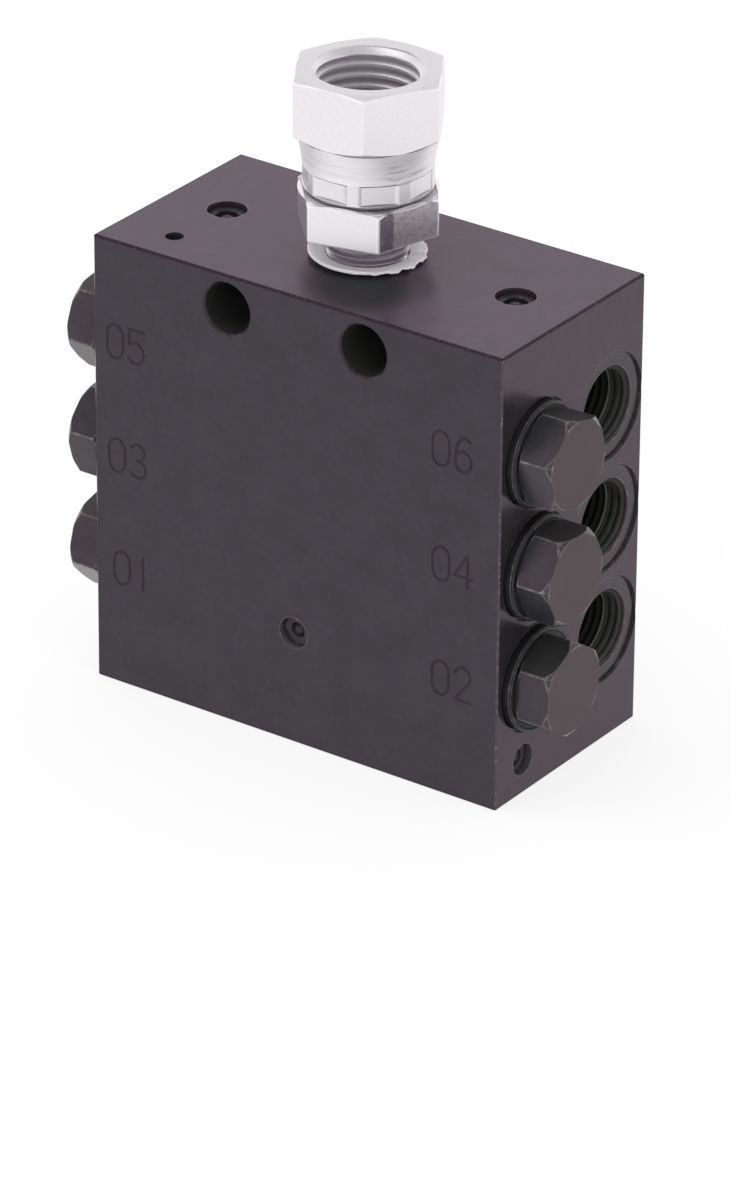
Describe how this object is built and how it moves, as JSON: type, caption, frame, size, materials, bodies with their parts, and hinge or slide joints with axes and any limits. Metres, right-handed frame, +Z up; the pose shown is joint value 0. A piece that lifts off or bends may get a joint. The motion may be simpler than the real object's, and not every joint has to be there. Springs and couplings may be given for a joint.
{
  "type": "lubricant divider block",
  "caption": "Steel progressive divider block with side outlets, hexagon end plugs, passage plugs, sliding metering pistons and a swivel inlet fitting on top.",
  "frame": {"origin": "middle of the block's underside", "axes": "+Z up along the inlet fitting, -Y out of the numbered front face, +Y out of the mounting face, +X towards the even outlets"},
  "size_m": [0.0716, 0.03, 0.0842],
  "materials": {
    "block_black": "satin black plated machined steel",
    "plug_black": "satin black plated turned steel",
    "seal_metal": "plain metal sealing washer",
    "ball_steel": "blackened steel ball",
    "piston_steel": "ground and lapped steel",
    "washer_pale": "thin pale washer",
    "zinc_plate": "bright zinc plated, turned and brushed"
  },
  "bodies": {
    "manifold": {"valve_block": "block_black", "end_plug_left_lower": "plug_black", "end_plug_left_middle": "plug_black", "end_plug_left_upper": "plug_black", "end_plug_right_lower": "plug_black", "end_plug_right_middle": "plug_black", "end_plug_right_upper": "plug_black", "plug_seal_left_lower": "seal_metal", "plug_seal_left_middle": "seal_metal", "plug_seal_left_upper": "seal_metal", "plug_seal_right_lower": "seal_metal", "plug_seal_right_middle": "seal_metal", "plug_seal_right_upper": "seal_metal", "passage_sleeve_top_left": "block_black", "passage_sleeve_top_right": "block_black", "passage_sleeve_front": "block_black", "passage_sleeve_side": "block_black", "passage_ball_top_left": "ball_steel", "passage_ball_top_right": "ball_steel", "passage_ball_front": "ball_steel", "passage_ball_side": "ball_steel", "inlet_washer": "washer_pale", "inlet_stem": "zinc_plate"},
    "inlet_swivel": {"swivel_nut": "zinc_plate"},
    "lower_piston": {"piston_lower": "piston_steel"},
    "middle_piston": {"piston_middle": "piston_steel"},
    "upper_piston": {"piston_upper": "piston_steel"}
  },
  "joints": [
    {"name": "inlet_swivel_turn", "type": "hinge", "parent": "manifold", "child": "inlet_swivel", "pos_m": [0, 0, 0.07635], "axis": [0, 0, 1], "continuous": true},
    {"name": "lower_piston_slide", "type": "slide", "parent": "manifold", "child": "lower_piston", "axis": [1, 0, 0], "range_m": [0, 0.007]},
    {"name": "middle_piston_slide", "type": "slide", "parent": "manifold", "child": "middle_piston", "axis": [1, 0, 0], "range_m": [0, 0.007]},
    {"name": "upper_piston_slide", "type": "slide", "parent": "manifold", "child": "upper_piston", "axis": [1, 0, 0], "range_m": [0, 0.007]}
  ]
}
